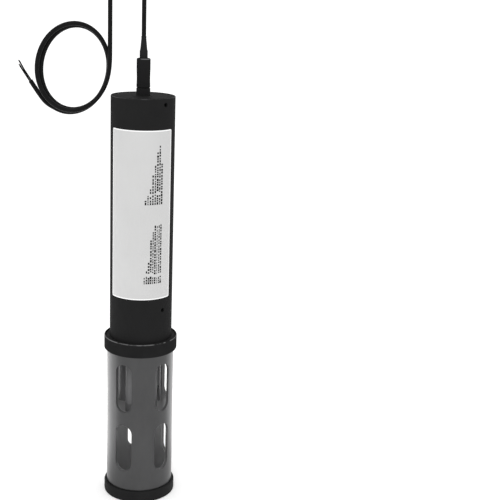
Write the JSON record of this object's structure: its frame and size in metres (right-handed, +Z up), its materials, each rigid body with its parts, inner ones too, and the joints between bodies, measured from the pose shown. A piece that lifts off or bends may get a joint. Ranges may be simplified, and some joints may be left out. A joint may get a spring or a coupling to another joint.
{
  "type": "water quality probe",
  "caption": "Tubular multi-sensor water quality probe with slotted screw-on sensor guard, end connector, hanging signal cable and cable saddle.",
  "frame": {"origin": "centre of the guard's foot, where the probe stands on its end ring", "axes": "+Z up along the probe's axis towards the cable connector, -Y towards the middle of the label, +X to the label's right"},
  "size_m": [0.1248, 0.0588, 0.441],
  "materials": {
    "guard_plastic": "satin, slightly glossy dark grey moulding",
    "black_plastic": "fine matte black",
    "housing_black": "black hard-anodised, satin",
    "label_film": "matte light grey film",
    "black_rubber": "matte",
    "cable_jacket": "satin polyurethane jacket",
    "stainless": "turned and bead blasted",
    "titanium": "bead-blasted grey",
    "dark_steel": "black oxide",
    "sensor_grey": "satin grey engineering plastic",
    "bulb_glass": "clear",
    "window_glass": "sapphire window",
    "foil_cap": "matte with a dark foil",
    "membrane": "cream membrane",
    "gold_contact": "gold flashed",
    "board_green": "solder mask",
    "component_black": "moulded epoxy",
    "header_white": "natural nylon",
    "wire_insulation": "PVC"
  },
  "bodies": {
    "guard": {"guard_tube": "guard_plastic", "guard_end_ring": "black_plastic", "guard_floor": "guard_plastic"},
    "slip_ring": {"slip_ring": "stainless"},
    "collar": {"collar_nut": "black_plastic"},
    "probe": {"sensor_head": "black_plastic", "head_thread": "black_plastic", "head_seals": "black_rubber", "head_set_screws": "dark_steel", "spigot_seal": "black_rubber", "housing_tube": "housing_black", "label": "label_film", "top_cap": "housing_black", "cap_seals": "black_rubber", "cap_set_screws": "dark_steel", "bulkhead_socket": "black_plastic", "socket_pins": "gold_contact", "socket_seal": "black_rubber", "stub_nut": "stainless", "stub_washer": "stainless", "ph_sensor": "sensor_grey", "ph_bulb": "bulb_glass", "oxygen_sensor": "sensor_grey", "oxygen_cap": "foil_cap", "conductivity_sensor": "sensor_grey", "conductivity_electrodes": "stainless", "turbidity_sensor": "titanium", "turbidity_windows": "window_glass", "ammonium_sensor": "sensor_grey", "ammonium_membrane": "membrane", "temperature_probe": "stainless", "sensor_seals": "black_rubber", "sensor_board": "board_green", "sensor_sockets": "component_black", "chassis_plates": "sensor_grey", "chassis_rods": "stainless", "chassis_nuts": "stainless", "main_board": "board_green", "board_brackets": "stainless", "board_parts": "component_black", "board_sockets": "header_white", "signal_harness": "wire_insulation", "cable_harness": "wire_insulation"},
    "plug": {"plug_insert": "black_plastic", "plug_contacts": "gold_contact", "strain_relief_boot": "black_rubber", "cable_run": "cable_jacket", "cable_coil": "cable_jacket", "cable_tail": "cable_jacket", "stripped_wires": "wire_insulation", "saddle_block": "black_plastic", "saddle_cheeks": "stainless", "saddle_rivets": "stainless", "saddle_bridge": "black_plastic"},
    "coupling_washer": {"coupling_washer": "stainless"},
    "coupling_nut": {"coupling_nut": "black_plastic"}
  },
  "joints": [
    {"name": "probe_lift", "type": "slide", "parent": "guard", "child": "probe", "axis": [0, 0, 1], "range_m": [0, 0.06]},
    {"name": "slip_ring_slide", "type": "slide", "parent": "guard", "child": "slip_ring", "axis": [0, 0, -1], "range_m": [0, 0.006]},
    {"name": "collar_turn", "type": "hinge", "parent": "slip_ring", "child": "collar", "pos_m": [0, 0, 0.13], "axis": [0, 0, -1], "range_deg": [0, 1080]},
    {"name": "plug_pull", "type": "slide", "parent": "probe", "child": "plug", "axis": [0, 0, 1], "range_m": [0, 0.014]},
    {"name": "coupling_nut_rise", "type": "slide", "parent": "plug", "child": "coupling_washer", "axis": [0, 0, 1], "range_m": [0, 0.003]},
    {"name": "coupling_nut_turn", "type": "hinge", "parent": "coupling_washer", "child": "coupling_nut", "pos_m": [0, 0, 0.35], "axis": [0, 0, 1], "range_deg": [0, 1080]}
  ],
  "couplings": [
    {"joint": "slip_ring_slide", "follows": "collar_turn", "m_per_rad": 0.00031831},
    {"joint": "coupling_nut_turn", "follows": "coupling_nut_rise", "rad_per_m": 6283.2}
  ]
}
